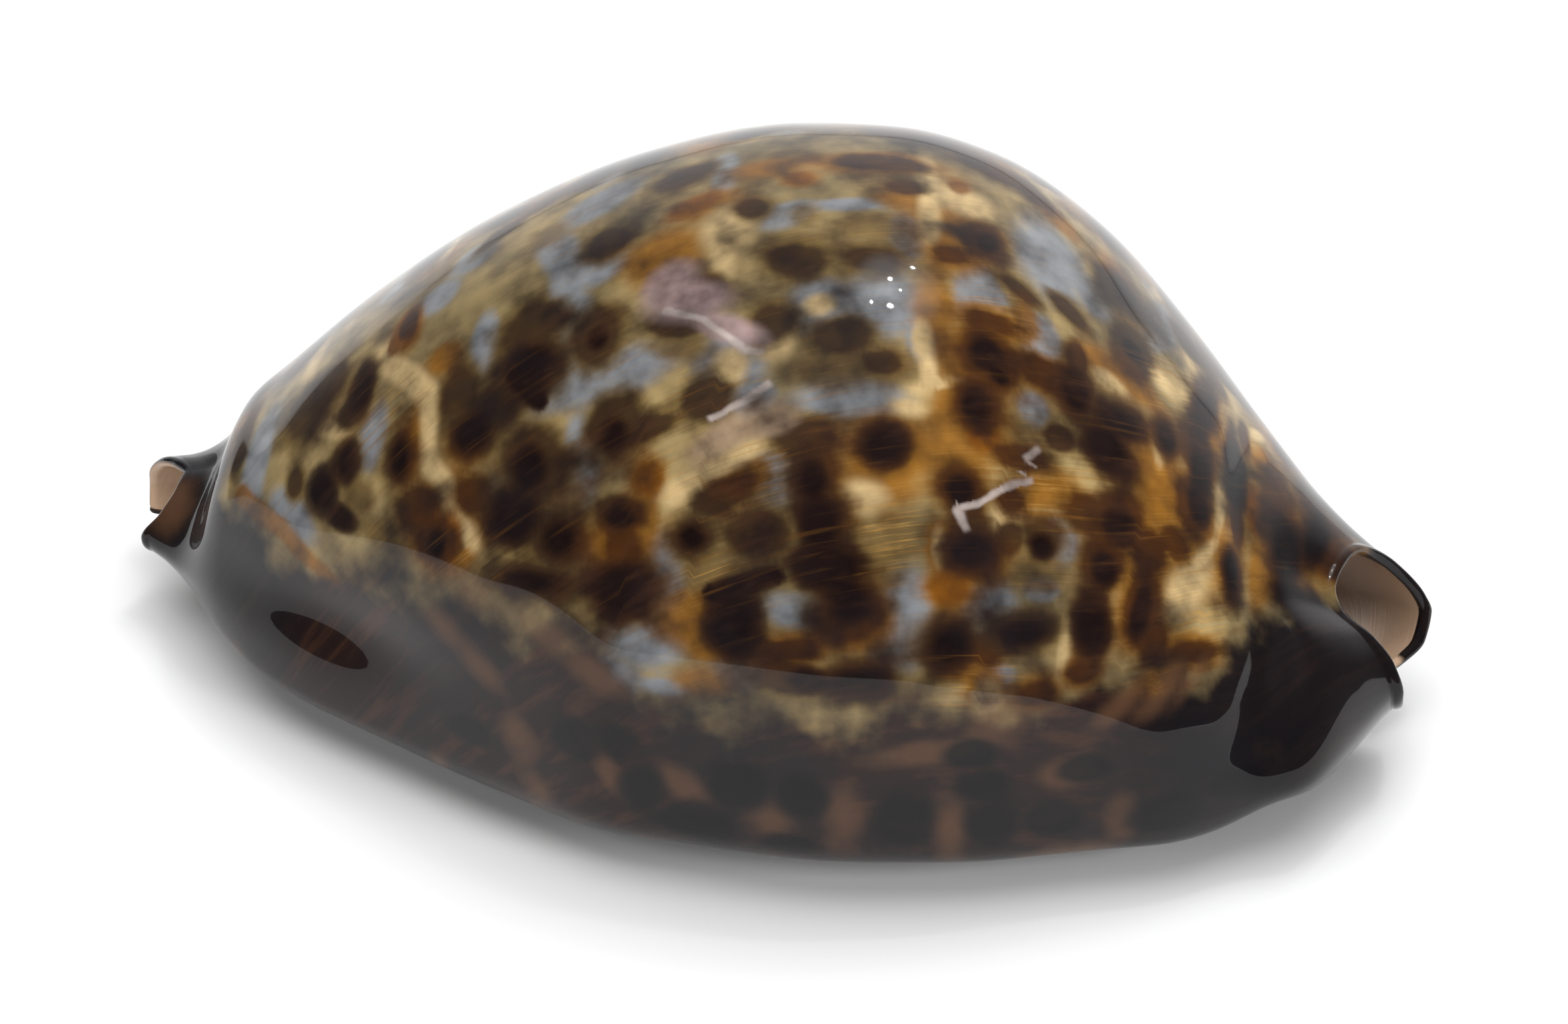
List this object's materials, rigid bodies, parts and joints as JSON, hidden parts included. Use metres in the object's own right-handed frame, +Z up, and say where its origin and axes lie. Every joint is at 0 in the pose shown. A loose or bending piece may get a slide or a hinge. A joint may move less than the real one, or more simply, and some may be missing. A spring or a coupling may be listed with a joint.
{
  "type": "friends cowrie shell",
  "caption": "Glossy cowrie shell with a humped spotted back, beaked ends and a toothed slit along its base.",
  "frame": {"origin": "bottom centre of the shell's box, on the surface it rests on", "axes": "+Z up, +X towards the back (spire) end, -X the front (siphon) end, -Y the inner-lip side seen in the picture"},
  "size_m": [0.0854, 0.0514, 0.036],
  "materials": {
    "shell": "glossy, spotted brown on grey and cream"
  },
  "bodies": {
    "root": {"cowrie_shell": "shell"}
  },
  "joints": []
}
